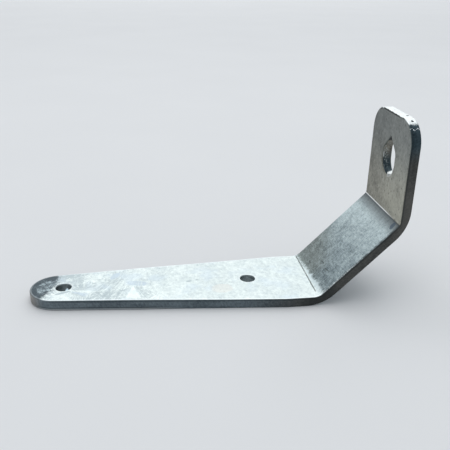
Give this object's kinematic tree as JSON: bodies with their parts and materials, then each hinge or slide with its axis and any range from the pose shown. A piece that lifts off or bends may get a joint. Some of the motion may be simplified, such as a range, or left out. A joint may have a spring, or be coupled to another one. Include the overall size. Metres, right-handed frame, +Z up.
{
  "type": "stamped metal bracket",
  "caption": "Galvanised flat-bar bracket with a tapered, drilled foot, a leg bent up at 45 degrees and an upright end with a pointed slot.",
  "frame": {"origin": "on the foot's underside, midway between its two bolt holes", "axes": "+X along the foot from its tip towards the upright, +Y across the bar, +Z up from the underside"},
  "size_m": [0.1964, 0.05, 0.0974],
  "materials": {
    "galvanised_steel": "hot-dip galvanised, spangled"
  },
  "bodies": {
    "root": {"bracket": "galvanised_steel"}
  },
  "joints": []
}
